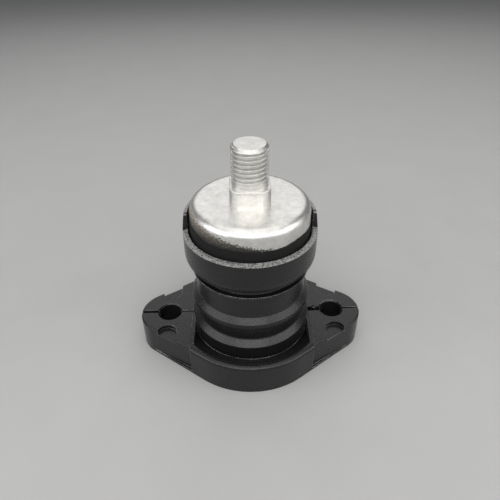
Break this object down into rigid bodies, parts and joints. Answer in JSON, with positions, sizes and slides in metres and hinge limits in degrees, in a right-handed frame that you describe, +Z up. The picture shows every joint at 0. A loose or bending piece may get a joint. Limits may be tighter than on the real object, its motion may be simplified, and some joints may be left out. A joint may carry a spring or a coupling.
{
  "type": "engine mount",
  "caption": "Rubber engine mount: a steel stud plate bonded to a rubber spring, held in a ribbed split housing with a cup at the top and a flange with bolt holes at the foot.",
  "frame": {"origin": "centre of the mounting face, under the stud's axis", "axes": "+Z up along the stud, X through the two bolt holes, the front shell with the low rim towards -Y"},
  "size_m": [0.0702, 0.049, 0.0675],
  "materials": {
    "plated_steel": "bright zinc plating, turned",
    "spring_rubber": "matt black moulded rubber",
    "housing_plastic": "satin black moulded plastic, fine grain"
  },
  "bodies": {
    "root": {"stud_plate": "plated_steel", "rubber_spring": "spring_rubber", "front_shell": "housing_plastic", "back_shell": "housing_plastic"}
  },
  "joints": []
}
